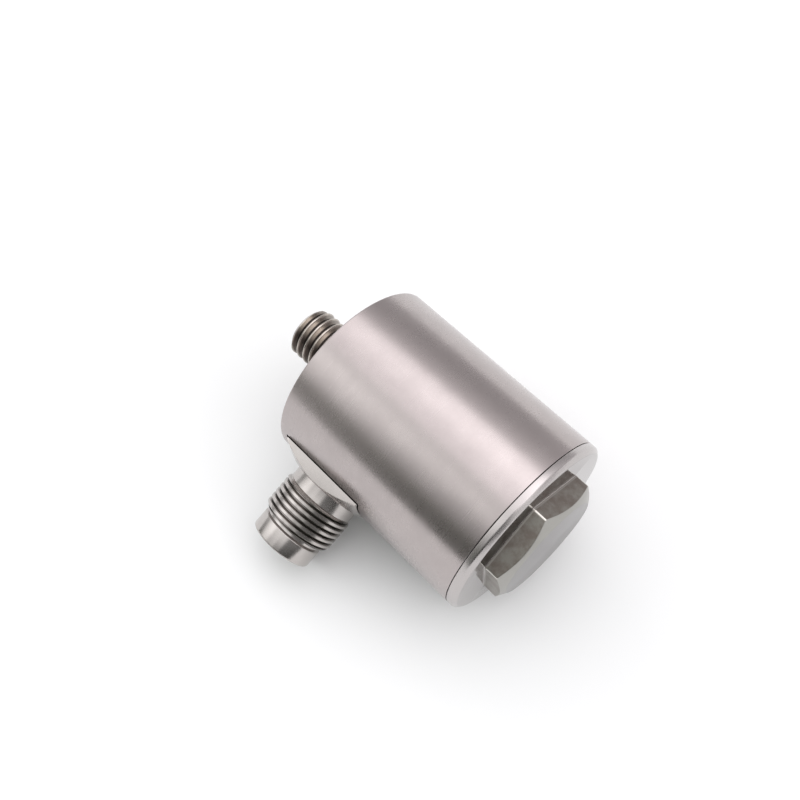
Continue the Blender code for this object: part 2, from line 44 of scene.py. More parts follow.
# Sizes in millimetres, as the CAD has them, apart from the threads' roots, the chamfer at the foot of
# the square base, and narrower gaps under the lid and round that base. Heights along Z are measured
# from the mounting face, and the connector's own along X from the body's axis.
HOUSING_R = 14.0
HOUSING_TOP = 32.08
CAVITY_R = 11.0
FLOOR_Z = 13.5
STUD_HOLE_R = 4.22
STUD_HOLE_TOP = 5.5
SCREW_HOLE_R = 1.8
SCREW_HOLE_FLOOR = 10.5
STUD_OUT = 10.0
STUD_IN = 5.2
STUD_PITCH = 1.25
STUD_CREST = 3.92
STUD_ROOT = 3.24
RIM_Z = 32.18
RIM_TOP = 33.6
RIM_EDGE = 0.6
LID_END = 29.6
LID_R = 10.7
LID_GROOVE_LOW = 30.04
LID_GROOVE_HIGH = 31.54
LID_GROOVE_R = 9.5
HEX_HALF = 8.5
HEX_TOP = 36.84
HEX_TOP_R = 7.8
HEX_TURN = math.radians(10.7)
CHAMFER_SLOPE = math.tan(math.radians(30.0))
CONNECTOR_Z = 8.55
POCKET_FLOOR = 11.6
POCKET_HALF = 7.2
FOOT_CHAMFER = 0.32
BORE_END = 6.9
BORE_R = 4.3
WIRE_X = 8.2
WIRE_HOLE_R = 1.1
WIRE_HOLE_TOP = 16.0
SQUARE_HALF = 7.0
SQUARE_SEAT = 11.9
SQUARE_TOP = 14.25
SQUARE_TOP_R = 6.75
SPIGOT_END = 8.9
SPIGOT_R = 4.0
SEAL_GROOVE_TOP = 13.2
SEAL_GROOVE_IN = 4.4
SEAL_GROOVE_OUT = 6.0
NECK_R = 5.2
THREAD_START = 16.4
THREAD_END = 21.9
SHELL_PITCH = 0.907
SHELL_CREST = 5.556
SHELL_ROOT = 5.06
NOSE_START = 22.65
NOSE_END = 25.35
NOSE_R = 4.83
RELIEF_R = 4.5
SOCKET_R = 4.07
SOCKET_FLOOR = 17.15
THROUGH_R = 2.6

# The flats at a thread's root and crest, as shares of its pitch.
STUD_FLATS = (0.1, 0.12)
SHELL_FLATS = (0.1, 0.46)


# Geometry.


def wrap(sections, closed=False):
    """Mesh data that skins a ring of (angle, points) sections, each point a radius and a height."""
    vertices = []
    found = {}
    faces = []

    def vertex(angle, radius, height):
        at = (radius * math.cos(angle), radius * math.sin(angle), height)
        key = tuple(round(value, 5) for value in at)
        if key not in found:
            found[key] = len(vertices)
            vertices.append(tuple(value * MM for value in at))
        return found[key]

    columns = [[vertex(angle, *point) for point in points] for angle, points in sections]
    count = len(columns[0])
    for left, right in zip(columns[:-1], columns[1:]):
        for low in range(count if closed else count - 1):
            high = (low + 1) % count
            corners = []
            for corner in (left[low], right[low], right[high], left[high]):
                if corner not in corners:
                    corners.append(corner)
            if len(corners) > 2:
                faces.append(corners)
    return vertices, faces


def add(name, data, along_x=False, lift=0.0, sharp=30.0):
    """Makes a smooth-shaded object in the row frame, laid along +X if asked."""
    mesh = bpy.data.meshes.new(name)
    mesh.from_pydata(data[0], [], data[1])
    if along_x:
        mesh.transform(Matrix.Rotation(math.radians(90.0), 4, "Y"))
    mesh.transform(Matrix.Translation((0.0, 0.0, lift * MM)))
    mesh.shade_smooth()
    mesh.set_sharp_from_angle(angle=math.radians(sharp))
    made = bpy.data.objects.new(name, mesh)
    bpy.context.scene.collection.objects.link(made)
    return made


def mark(piece, name, test):
    """Gives each face of a piece a 0 or 1 under a name, by a test of its centre in mm and its normal."""
    values = piece.data.attributes.new(name, "FLOAT", "FACE").data
    for face, value in zip(piece.data.polygons, values):
        value.value = 1.0 if test(face.center / MM, face.normal) else 0.0


def ring_angles(steps, start=0.0):
    return [start + TURN * index / steps for index in range(steps + 1)]


def polygon_angles(sides, steps, start, corner):
    """Angles round a polygon with its first corner at start, with extra ones at each round corner."""
    angles = []
    for side in range(sides):
        first = start + TURN * side / sides
        angles += [first + corner * share for share in (0.0, 0.25, 0.5, 0.75, 1.0)]
        inner = TURN / sides - 2.0 * corner
        angles += [first + corner + inner * index / steps for index in range(1, steps)]
        last = first + TURN / sides
        angles += [last - corner * share for share in (1.0, 0.75, 0.5, 0.25)]
    angles.append(start + TURN)
    return angles


def corner_angle(sides, half, radius):
    """Angle from a corner to where its rounding ends."""
    sector = math.pi / sides
    centre = (half - radius) / math.cos(sector)
    return math.atan2(radius * math.sin(sector), centre + radius * math.cos(sector))


def polygon_radius(angle, sides, half, radius):
    """Distance from the centre to a polygon with rounded corners, the first one at angle zero."""
    sector = TURN / sides
    away = angle % sector
    away = min(away, sector - away)
    if away < corner_angle(sides, half, radius):
        centre = (half - radius) / math.cos(sector / 2.0)
        across = centre * math.sin(away)
        return centre * math.cos(away) + math.sqrt(max(0.0, radius * radius - across * across))
    return half / math.cos(sector / 2.0 - away)


def rounded(points, sizes, steps=4):
    """Replaces the corners of a profile by arcs; sizes maps a point's index to its radius."""
    result = []
    for index, point in enumerate(points):
        size = sizes.get(index, 0.0)
        if not size:
            result.append(point)
            continue
        here = Vector(point)
        back = (Vector(points[index - 1]) - here).normalized()
        ahead = (Vector(points[index + 1]) - here).normalized()
        half = math.acos(max(-1.0, min(1.0, back.dot(ahead)))) / 2.0
        reach = size / math.tan(half)
        start = here + back * reach
        end = here + ahead * reach
        middle = here + (back + ahead).normalized() * (size / math.sin(half))
        first = start - middle
        last = end - middle
        whole = first.angle(last)
        for step in range(steps + 1):
            share = step / steps
            mix = first * math.sin((1.0 - share) * whole) + last * math.sin(share * whole)
            result.append(tuple(middle + mix / math.sin(whole)))
    return result


def thread_shape(share, root_flat, crest_flat):
    """Height of a thread from root 0 to crest 1 at a share of the pitch, with the root at share 0.

    The flank is straight for the most part, and eased a little at both ends.
    """
    flank = (1.0 - root_flat - crest_flat) / 2.0
    away = min(share, 1.0 - share)
    rise = (away - root_flat / 2.0) / flank
    rise = max(0.0, min(1.0, rise))
    return rise * rise * (3.0 - 2.0 * rise) * 0.25 + rise * 0.75


def thread_levels(angle, low, high, pitch, root, crest, limit, flats, per_pitch=12):
    """Points up one side of a right-hand thread at one angle, cut off at low and high."""
    turn = angle / TURN
    points = []
    for index in range(-2, int((high - low) / pitch) + 3):
        for part in range(per_pitch):
            height = low + pitch * (index + part / per_pitch + turn)
            at = min(max(height, low), high)
            share = (at - low) / pitch - turn
            radius = root + (crest - root) * thread_shape(share - math.floor(share), *flats)
            points.append((min(radius, limit(at)), at))
    return points


def make_housing():
    """The turned body with its stud hole, open cavity, and the pocket for the connector."""

    def in_pocket(at, normal):
        return at.x > POCKET_FLOOR - 0.1 and math.hypot(at.x, at.y) < HOUSING_R - 0.02

    outline = [
        (0.0, STUD_HOLE_TOP),
        (STUD_HOLE_R, STUD_HOLE_TOP),
        (STUD_HOLE_R, 0.25),
        (STUD_HOLE_R + 0.25, 0.0),
        (HOUSING_R, 0.0),
        (HOUSING_R, HOUSING_TOP),
        (CAVITY_R, HOUSING_TOP),
        (CAVITY_R, FLOOR_Z),
        (SCREW_HOLE_R, FLOOR_Z),
        (SCREW_HOLE_R, SCREW_HOLE_FLOOR),
        (0.0, SCREW_HOLE_FLOOR),
    ]
    profile = rounded(outline, {4: 0.22, 5: 0.07, 6: 0.1})
    body = add("housing_fine", wrap([(angle, profile) for angle in ring_angles(360, TURN / 720)]))

    reach = 18.0
    half = POCKET_HALF
    corners = []
    for x in (POCKET_FLOOR, reach):
        for y, z in ((-half, -half), (half, -half), (half, half), (-half, half)):
            corners.append((x * MM, y * MM, (CONNECTOR_Z + z) * MM))
    sides = [(0, 3, 2, 1), (4, 5, 6, 7), (0, 1, 5, 4), (1, 2, 6, 5), (2, 3, 7, 6), (3, 0, 4, 7)]
    bore = [(0.0, BORE_END), (BORE_R, BORE_END), (BORE_R, reach), (0.0, reach)]
    wire = [
        (0.0, CONNECTOR_Z),
        (WIRE_HOLE_R, CONNECTOR_Z),
        (WIRE_HOLE_R, WIRE_HOLE_TOP),
        (0.0, WIRE_HOLE_TOP),
    ]
    wire_hole = add("wire_cutter", wrap([(angle, wire) for angle in ring_angles(48)]))
    wire_hole.location.x = WIRE_X * MM
    cutters = [
        add("pocket_cutter", (corners, sides)),
        add("bore_cutter", wrap([(angle, bore) for angle in ring_angles(96)]), True, CONNECTOR_Z),
        wire_hole,
    ]
    for cutter in cutters:
        step = body.modifiers.new(cutter.name, "BOOLEAN")
        step.solver = "EXACT"
        step.operation = "DIFFERENCE"
        step.object = cutter
    graph = bpy.context.evaluated_depsgraph_get()
    finished = bpy.data.meshes.new_from_object(body.evaluated_get(graph))
    body.modifiers.clear()
    body.data = finished
    finished.shade_smooth()
    finished.set_sharp_from_angle(angle=math.radians(30.0))
    for cutter in cutters:
        bpy.data.objects.remove(cutter)
    mark(body, "pocket", in_pocket)
    return body


def make_end_cap():
    """The lid: spigot with its seal groove, bright rim and chamfered hexagon."""
    corner_r = 0.28
    sections = []
    for angle in polygon_angles(6, 40, HEX_TURN, corner_angle(6, HEX_HALF, corner_r)):
        edge = polygon_radius(angle - HEX_TURN, 6, HEX_HALF, corner_r)
        shoulder = HEX_TOP - (edge - HEX_TOP_R) * CHAMFER_SLOPE
        outline = [
            (0.0, LID_END),
            (LID_R, LID_END),
            (LID_R, LID_GROOVE_LOW),
            (LID_GROOVE_R, LID_GROOVE_LOW),
            (LID_GROOVE_R, LID_GROOVE_HIGH),
            (LID_R, LID_GROOVE_HIGH),
            (LID_R, RIM_Z),
            (HOUSING_R, RIM_Z),
            (HOUSING_R, RIM_TOP - RIM_EDGE),
            (HOUSING_R - RIM_EDGE, RIM_TOP),
            (edge, RIM_TOP),
            (edge, shoulder),
            (HEX_TOP_R, HEX_TOP),
            (0.0, HEX_TOP),
        ]
        profile = rounded(outline, {7: 0.06, 8: 0.4, 9: 0.5, 10: 0.12, 11: 0.12, 12: 0.3})
        sections.append((angle, profile))
    cap = add("end_cap_fine", wrap(sections), sharp=40.0)
    round_from = HEX_HALF / math.cos(math.pi / 6.0) - 0.1
    mark(cap, "milled", lambda at, normal: at.z > RIM_TOP + 0.05 and abs(normal.z) < 0.3)
    mark(cap, "corner", lambda at, normal: at.z > RIM_TOP + 0.3 and math.hypot(at.x, at.y) > round_from)
    mark(cap, "chamfer", lambda at, normal: at.z > RIM_TOP + 0.5 and 0.3 < normal.z < 0.95)
    mark(cap, "top", lambda at, normal: at.z > RIM_TOP + 0.5 and normal.z > 0.95)
    mark(cap, "rim", lambda at, normal: at.z > RIM_Z and math.hypot(at.x, at.y) > HOUSING_R - RIM_EDGE)
    mark(cap, "ring", lambda at, normal: abs(at.z - RIM_TOP) < 0.1 and normal.z > 0.9)
    return cap


def make_stud():
    """The M8 stud: its thread outside the housing, tapered at the end, and a plain shank inside."""
    shank_end = STUD_IN - 0.55

    def limit(height):
        return STUD_CREST - 0.6 + max(0.0, height + STUD_OUT) * 1.1

    sections = []
    for angle in ring_angles(144):
        points = [(0.0, -STUD_OUT), (STUD_CREST - 1.0, -STUD_OUT)]
        points += thread_levels(
            angle, -STUD_OUT, 0.0, STUD_PITCH, STUD_ROOT, STUD_CREST, limit, STUD_FLATS
        )
        points += [(STUD_CREST, 0.3), (STUD_CREST, shank_end)]
        points += [(STUD_CREST - 0.55, STUD_IN), (0.0, STUD_IN)]
        sections.append((angle, points))
    return add("mounting_stud_fine", wrap(sections))


def make_connector():
    """The connector shell with its chamfered square base, 7/16-28 thread and plain nose."""
    corner_r = 0.18

    def limit(height):
        return SHELL_CREST - max(0.0, THREAD_START + 0.55 - height, height - THREAD_END + 0.5)

    sections = []
    turn = math.pi / 4.0
    for angle in polygon_angles(4, 44, turn, corner_angle(4, SQUARE_HALF, corner_r)):
        edge = polygon_radius(angle - turn, 4, SQUARE_HALF, corner_r)
        shoulder = SQUARE_TOP - (edge - SQUARE_TOP_R) * CHAMFER_SLOPE
        outline = [
            (THROUGH_R, SPIGOT_END),
            (SPIGOT_R, SPIGOT_END),
            (SPIGOT_R, SQUARE_SEAT),
            (SEAL_GROOVE_IN, SQUARE_SEAT),
            (SEAL_GROOVE_IN, SEAL_GROOVE_TOP),
            (SEAL_GROOVE_OUT, SEAL_GROOVE_TOP),
            (SEAL_GROOVE_OUT, SQUARE_SEAT),
            (edge - FOOT_CHAMFER, SQUARE_SEAT),
            (edge, SQUARE_SEAT + FOOT_CHAMFER),
            (edge, shoulder),
            (SQUARE_TOP_R, SQUARE_TOP),
            (NECK_R, SQUARE_TOP),
            (NECK_R, THREAD_START),
        ]
        points = rounded(outline, {9: 0.06, 11: 0.15})
        thread = (THREAD_START, THREAD_END, SHELL_PITCH, SHELL_ROOT, SHELL_CREST)
        points += thread_levels(angle, *thread, limit, SHELL_FLATS, 20)
        tail = [
            (RELIEF_R, THREAD_END),
            (RELIEF_R, THREAD_END + 0.5),
            (NOSE_R, NOSE_START),
            (NOSE_R, NOSE_END),
            (SOCKET_R, NOSE_END),
            (SOCKET_R, SOCKET_FLOOR),
            (THROUGH_R, SOCKET_FLOOR),
        ]
        points += rounded(tail, {2: 0.1, 3: 0.3, 4: 0.08})
        sections.append((angle, points))
    shell = add("connector_body_fine", wrap(sections, closed=True), True, CONNECTOR_Z)
    mark(shell, "foot", lambda at, normal: at.x < SQUARE_SEAT + FOOT_CHAMFER and normal.x < -0.3)
    return shell


# Materials.


class Nodes:
    """Small helper that adds and links the nodes of a material or the world."""

    def __init__(self, owner):
        owner.use_nodes = True
        self.owner = owner
        self.tree = owner.node_tree
        self.shader = self.tree.nodes.get("Principled BSDF")

    def node(self, kind, settings=None, inputs=None):
        made = self.tree.nodes.new(kind)
        for key, value in (settings or {}).items():
            setattr(made, key, value)
        for key, value in (inputs or {}).items():
            self.feed(made.inputs[key], value)
        return made

    def feed(self, socket, value):
        if isinstance(value, bpy.types.NodeSocket):
            self.tree.links.new(value, socket)
        else:
            socket.default_value = value

    def math(self, operation, first, second=0.0):
        made = self.node("ShaderNodeMath", {"operation": operation})
        self.feed(made.inputs[0], first)
        self.feed(made.inputs[1], second)
        return made.outputs[0]

    def dot(self, vector, axis):
        made = self.node("ShaderNodeVectorMath", {"operation": "DOT_PRODUCT"})
        self.feed(made.inputs[0], vector)
        made.inputs[1].default_value = axis
        return made.outputs["Value"]

    def place(self, scale, shift=(0.0, 0.0, 0.0)):
        """Object coordinates, times scale along each axis, plus shift."""
        where = self.node("ShaderNodeTexCoord").outputs["Object"]
        inputs = {"Vector": where, "Scale": scale, "Location": shift}
        return self.node("ShaderNodeMapping", inputs=inputs).outputs[0]

    def off_axis(self, axis):
        """Distance in millimetres from the body's axis, Z, or from the connector's, X."""
        if axis == "Z":
            across = self.place((1.0 / MM, 1.0 / MM, 0.0))
        else:
            across = self.place((0.0, 1.0 / MM, 1.0 / MM), (0.0, 0.0, -CONNECTOR_Z))
        made = self.node("ShaderNodeVectorMath", {"operation": "LENGTH"}, {0: across})
        return made.outputs["Value"]

    def noise(self, scale, detail, rough):
        made = self.node(
            "ShaderNodeTexNoise",
            inputs={"Vector": self.place(scale), "Scale": 1.0, "Detail": detail, "Roughness": rough},
        )
        return made.outputs["Fac"]

    def span(self, value, low, high, to_low=0.0, to_high=1.0, smooth=False):
        made = self.node(
            "ShaderNodeMapRange",
            {"interpolation_type": "SMOOTHSTEP" if smooth else "LINEAR"},
            {"Value": value, "From Min": low, "From Max": high, "To Min": to_low, "To Max": to_high},
        )
        return made.outputs[0]

    def ramp(self, value, stops):
        """Colour by a value, blended evenly between (value, colour) stops."""
        low = stops[0][0]
        high = stops[-1][0]
        made = self.node("ShaderNodeValToRGB", inputs={0: self.span(value, low, high)})
        elements = made.color_ramp.elements
        elements.remove(elements[-1])
        elements[0].position = 0.0
        elements[0].color = stops[0][1]
        for at, tint in stops[1:]:
            elements.new((at - low) / (high - low)).color = tint
        return made.outputs[0]

    def mix(self, share, first, second):
        made = self.node("ShaderNodeMix", {"data_type": "RGBA"})
        self.feed(made.inputs[0], share)
        self.feed(made.inputs[6], first)
        self.feed(made.inputs[7], second)
        return made.outputs[2]

    def field(self, name):
        """The values that mark gave to the piece's faces."""
        made = self.node("ShaderNodeAttribute", {"attribute_type": "GEOMETRY", "attribute_name": name})
        return made.outputs["Fac"]

    def overlay(self, share, base, rough):
        """Covers what the shader has so far with another colour and gloss, where share is 1."""
        for key, value in (("Base Color", base), ("Roughness", grey(rough))):
            socket = self.shader.inputs[key]
            below = socket.links[0].from_socket
            self.feed(socket, self.mix(share, below, value))

    def bump(self, height, strength, distance):
        made = self.node(
            "ShaderNodeBump", inputs={"Height": height, "Strength": strength, "Distance": distance}
        )
        return made.outputs["Normal"]


def colour(red, green, blue):
    return (red, green, blue, 1.0)


def grey(value, tint=(1.0, 1.0, 1.0)):
    return colour(*(value * channel for channel in tint))


def steel(name, light, dark, rough, axis, anisotropy):
    """Machined stainless steel, its tool marks running round the given axis."""
    ring_pitch = 0.16
    ring_length = 9.0
    made = Nodes(bpy.data.materials.new(name))
    shader = made.shader
    along = 1.0 / (ring_pitch * MM)
    across = 1.0 / (ring_length * MM)
    lines = (across, across, along) if axis == "Z" else (along, across, across)
    rings = made.noise(lines, 4.0, 0.6)
    cloud = made.noise((260.0, 260.0, 260.0), 4.0, 0.6)
    fine = made.noise((2600.0, 2600.0, 2600.0), 3.0, 0.6)
    stain = made.noise((620.0, 620.0, 620.0), 5.0, 0.65)
    shade = made.math("ADD", made.math("MULTIPLY", cloud, 0.55), made.math("MULTIPLY", stain, 0.45))
    made.feed(shader.inputs["Base Color"], made.mix(made.span(shade, 0.34, 0.66), light, dark))
    texture = made.math("ADD", made.math("MULTIPLY", rings, 0.6), made.math("MULTIPLY", fine, 0.4))
    worn = made.math("ADD", texture, made.math("MULTIPLY", cloud, 0.6))
    made.feed(shader.inputs["Roughness"], made.span(worn, 0.45, 1.15, rough - 0.05, rough + 0.06))
    made.feed(shader.inputs["Normal"], made.bump(texture, 0.12, 0.02 * MM))
    shader.inputs["Metallic"].default_value = 1.0
    shader.inputs["Anisotropic"].default_value = anisotropy
    shader.inputs["Anisotropic Rotation"].default_value = 0.25
    tangent = made.node("ShaderNodeTangent", {"direction_type": "RADIAL", "axis": axis})
    made.feed(shader.inputs["Tangent"], tangent.outputs[0])
    return made


def plain(name, base, metallic, rough, speck=0.25):
    """A small inner piece's finish: its colour with slight blotches and an uneven gloss."""
    size = 900.0
    made = Nodes(bpy.data.materials.new(name))
    shader = made.shader
    cloud = made.noise((size, size, size), 4.0, 0.6)
    spots = made.mix(made.span(cloud, 0.35, 0.65), colour(*base), grey(1.0 - speck, base))
    made.feed(shader.inputs["Base Color"], spots)
    made.feed(shader.inputs["Roughness"], made.span(cloud, 0.3, 0.7, rough - 0.06, rough + 0.08))
    made.feed(shader.inputs["Normal"], made.bump(cloud, 0.15, 0.03 * MM))
    shader.inputs["Metallic"].default_value = metallic
    return made


def body_steel_and_pocket_shade():
    """Satin turned steel; the pocket round the connector is painted near-black, a painted shade in that
    gap.
    """
    made = steel("body_steel", colour(0.471, 0.426, 0.418), colour(0.433, 0.391, 0.384), 0.28, "Z", 0.75)
    # Painted shade: the pocket's walls round the connector's square base are near-black.
    made.overlay(made.field("pocket"), grey(0.015), 0.8)
    return made


def lid_steel_and_painted_light():
    """Polished ring face and rim; each zone is a lighter or darker copy of one steel. The hexagon's
    sides, chamfer and top and the ring face are painted shade, and the rim, a band at the hexagon's foot
    and its corners are painted highlights.
    """
    made = steel("lid_steel", colour(0.456, 0.426, 0.418), colour(0.41, 0.38, 0.372), 0.24, "Z", 0.5)
    patches = made.noise((650.0, 650.0, 650.0), 5.0, 0.65)
    blotches = made.span(patches, 0.38, 0.62)
    milled = made.mix(blotches, colour(0.236, 0.205, 0.182), colour(0.319, 0.304, 0.274))
    height = made.dot(made.place((0.0, 0.0, 1.0 / MM)), (0.0, 0.0, 1.0))
    off_foot = made.math("ABSOLUTE", made.math("SUBTRACT", height, RIM_TOP + 0.22))
    foot = made.span(off_foot, 0.06, 0.14, 1.0, 0.0)
    above = made.span(height, RIM_TOP + 0.3, RIM_TOP + 0.4)
    # Painted shade: the milled sides are a darker copy of the steel, with blotches that vary at random.
    made.overlay(made.field("milled"), milled, 0.38)
    # Painted highlight: a lighter band along the foot of each milled side.
    made.overlay(made.math("MULTIPLY", made.field("milled"), foot), colour(0.395, 0.372, 0.342), 0.3)
    # Painted shade: the chamfer and the flat top are darker copies of the steel.
    made.overlay(made.field("chamfer"), colour(0.385, 0.375, 0.352), 0.34)
    made.overlay(made.field("top"), colour(0.347, 0.336, 0.336), 0.36)
    # Painted shade: the polished ring face is a darker copy of the steel.
    made.overlay(made.field("ring"), colour(0.375, 0.352, 0.345), 0.1)
    # Painted highlight: the rim is a lighter copy of the steel.
    made.overlay(made.field("rim"), colour(0.503, 0.474, 0.466), 0.26)
    # Painted highlight: the hexagon's rounded corners, above the foot band, are the lightest copy of the
    # steel.
    made.overlay(made.math("MULTIPLY", made.field("corner"), above), colour(0.623, 0.6, 0.562), 0.22)
    return made


def stud_steel_and_painted_shade():
    """Rolled thread with bright crests, dirt and painted shade in its roots, and painted shade down both
    sides.
    """
    made = steel("rolled_steel", colour(0.592, 0.552, 0.504), colour(0.496, 0.448, 0.4), 0.24, "Z", 0.3)
    depth = made.off_axis("Z")
    around = made.place((1.0 / MM, 1.0 / MM, 0.0))
    # Painted shade: the stud's left and right sides are darkened, more on the flanks than on the crests.
    left = made.span(made.dot(around, (0.87, -0.5, 0.0)), 1.2, 3.3, 0.0, 0.97, smooth=True)
    right = made.span(made.dot(around, (-0.97, -0.26, 0.0)), 2.2, 3.6, 0.0, 0.62, smooth=True)
    flanks = made.span(depth, STUD_CREST - 0.22, STUD_CREST - 0.08, 1.0, 0.2)
    side_shade = made.math("MULTIPLY", made.math("MAXIMUM", left, right), flanks)
    made.overlay(side_shade, colour(0.144, 0.124, 0.112), 0.35)
    # Dirt and painted shade: the thread's roots are near-black.
    roots = made.span(depth, STUD_ROOT + 0.03, STUD_ROOT + 0.18, 1.0, 0.0, smooth=True)
    made.overlay(roots, colour(0.048, 0.04, 0.036), 0.5)
    return made


def shell_steel_and_painted_shade():
    """Half-bright turned steel, with dirt and painted shade in the thread's roots and painted shade at
    the foot.

    The roots' painted shade is lighter on the side that lies uppermost, and a painted dark reflection
    darkens the thread between there and the side towards the hexagon.
    """
    made = steel("shell_steel", colour(0.532, 0.502, 0.483), colour(0.486, 0.456, 0.437), 0.2, "X", 0.6)
    length = made.dot(made.place((1.0 / MM, 0.0, 0.0)), (1.0, 0.0, 0.0))
    after = made.span(length, THREAD_START + 0.2, THREAD_START + 0.4)
    before = made.span(length, THREAD_END - 0.05, THREAD_END + 0.05, 1.0, 0.0)
    inside = made.math("MULTIPLY", after, before)
    depth = made.off_axis("X")
    roots = made.span(depth, SHELL_ROOT + 0.04, SHELL_ROOT + 0.41, 1.0, 0.0, smooth=True)
    around = made.place((0.0, 1.0 / MM, 1.0 / MM), (0.0, 0.0, -CONNECTOR_Z))
    # Painted shade: the roots' darkening is weaker on the uppermost side, where the light falls.
    upper_side_less_shade = made.span(made.dot(around, (0.0, -0.99, -0.14)), 4.4, 5.15, 1.0, 0.4, smooth=True)
    # Dirt and painted shade: the thread's roots are near-black.
    root_dirt_and_shade = made.math("MULTIPLY", made.math("MULTIPLY", inside, roots), upper_side_less_shade)
    made.overlay(root_dirt_and_shade, colour(0.056, 0.052, 0.044), 0.45)
    # Painted reflection: a dark band on the thread between the uppermost side and the side towards the
    # hexagon.
    dark_reflection_band = made.span(made.dot(around, (0.0, -0.85, 0.53)), 4.95, 5.4, 0.0, 0.55, smooth=True)
    made.overlay(made.math("MULTIPLY", inside, dark_reflection_band), colour(0.176, 0.172, 0.156), 0.3)
    # Painted shade: the chamfer at the square base's foot is near-black, in the gap round that base.
    made.overlay(made.field("foot"), grey(0.015), 0.8)
    return made


def dress(made, piece):
    piece.data.materials.clear()
    piece.data.materials.append(made.owner)


# Build.

pieces = [
    (make_housing(), "housing", "stainless_steel", body_steel_and_pocket_shade()),
    (make_end_cap(), "end_cap", "cap_steel", lid_steel_and_painted_light()),
    (make_stud(), "mounting_stud", "stud_steel", stud_steel_and_painted_shade()),
    (make_connector(), "connector_body", "connector_steel", shell_steel_and_painted_shade()),
]
for piece, node, slot, finish in pieces:
    dress(finish, piece)
    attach(piece, "root")
    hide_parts(node)

inner = {
    "connector_insulator": plain("dielectric", (0.82, 0.81, 0.77), 0.0, 0.42, 0.05),
    "centre_contact": plain("gold", (0.80, 0.58, 0.22), 1.0, 0.24, 0.12),
    "connector_seal": plain("seal", (0.025, 0.025, 0.025), 0.0, 0.6),
    "base_insulator": plain("amber_film", (0.60, 0.31, 0.07), 0.0, 0.4),
    "ground_electrode": plain("bronze", (0.63, 0.38, 0.19), 1.0, 0.3),
    "lower_crystal": plain("fired_ceramic", (0.76, 0.72, 0.64), 0.0, 0.6, 0.08),
    "seismic_mass": plain("sintered_alloy", (0.30, 0.30, 0.31), 1.0, 0.42),
    "spring_washer": plain("spring", (0.42, 0.42, 0.44), 1.0, 0.3),
    "preload_screw": plain("screw", (0.48, 0.48, 0.50), 1.0, 0.32),
    "shield_can": plain("tinned", (0.62, 0.63, 0.64), 1.0, 0.34, 0.15),
    "board_spacer": plain("moulding", (0.045, 0.045, 0.05), 0.0, 0.5),
    "circuit_board": plain("laminate", (0.04, 0.20, 0.09), 0.0, 0.35),
    "amplifier_chip": plain("epoxy", (0.03, 0.03, 0.03), 0.0, 0.5),
    "coupling_capacitor": plain("brown_ceramic", (0.50, 0.38, 0.25), 0.0, 0.5),
    "filter_capacitor": plain("yellow_moulding", (0.68, 0.46, 0.09), 0.0, 0.45),
    "bias_resistor": plain("glaze", (0.05, 0.05, 0.07), 0.0, 0.35),
    "signal_lead": plain("sleeve", (0.70, 0.09, 0.07), 0.0, 0.5),
    "ground_lead": plain("bare_copper", (0.70, 0.36, 0.20), 1.0, 0.3),
}
same = {
    "cap_seal": "connector_seal",
    "signal_electrode": "ground_electrode",
    "top_electrode": "ground_electrode",
    "upper_crystal": "lower_crystal",
    "feedback_resistor": "bias_resistor",
    "element_lead": "signal_lead",
}
for node, finish in inner.items():
    dress(finish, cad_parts[node])
for node, like in same.items():
    dress(inner[like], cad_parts[node])


# Studio.

# The sensor lies on its side: its body and its connector's nose touch the floor.
LEAN = math.radians(22.0)
UP = Vector((-math.sin(LEAN), -math.cos(LEAN), 0.0))
SIDE = Vector((math.cos(LEAN), -math.sin(LEAN), 0.0))
AXIS = Vector((0.0, 0.0, 1.0))

# Slight tints of the light: rosy overhead, and warm low down on the connector's side.
ROSY = (1.01, 0.98, 1.0)
WARM = (1.0, 1.02, 0.95)

LIGHT_LEVEL = 1.31
PAPER_WHITE = grey(0.9, (0.985, 1.005, 1.0))


def make_floor():
    """A wide sheet of plain white paper under the sensor, which can't be seen from below."""
    half = 1.2  # metres
    middle = UP * (-HOUSING_R * MM)
    corners = []
    for first, second in ((-half, -half), (half, -half), (half, half), (-half, half)):
        corners.append(middle + SIDE * first + AXIS * second)
    mesh = bpy.data.meshes.new("floor")
    mesh.from_pydata([tuple(corner) for corner in corners], [], [(0, 1, 2, 3)])
    if mesh.polygons[0].normal.dot(UP) < 0.0:
        mesh.flip_normals()
    floor = bpy.data.objects.new("floor", mesh)
    bpy.context.scene.collection.objects.link(floor)

    paper = Nodes(bpy.data.materials.new("paper"))
    paper.tree.nodes.remove(paper.shader)
    matt = paper.node("ShaderNodeBsdfDiffuse", inputs={"Color": PAPER_WHITE, "Roughness": 0.0})
    clear = paper.node("ShaderNodeBsdfTransparent")
    behind = paper.node("ShaderNodeNewGeometry").outputs["Backfacing"]
    swap = paper.node(
        "ShaderNodeMixShader", inputs={0: behind, 1: matt.outputs[0], 2: clear.outputs[0]}
    )
    paper.feed(paper.tree.nodes["Material Output"].inputs["Surface"], swap.outputs[0])
    floor.data.materials.append(paper.owner)


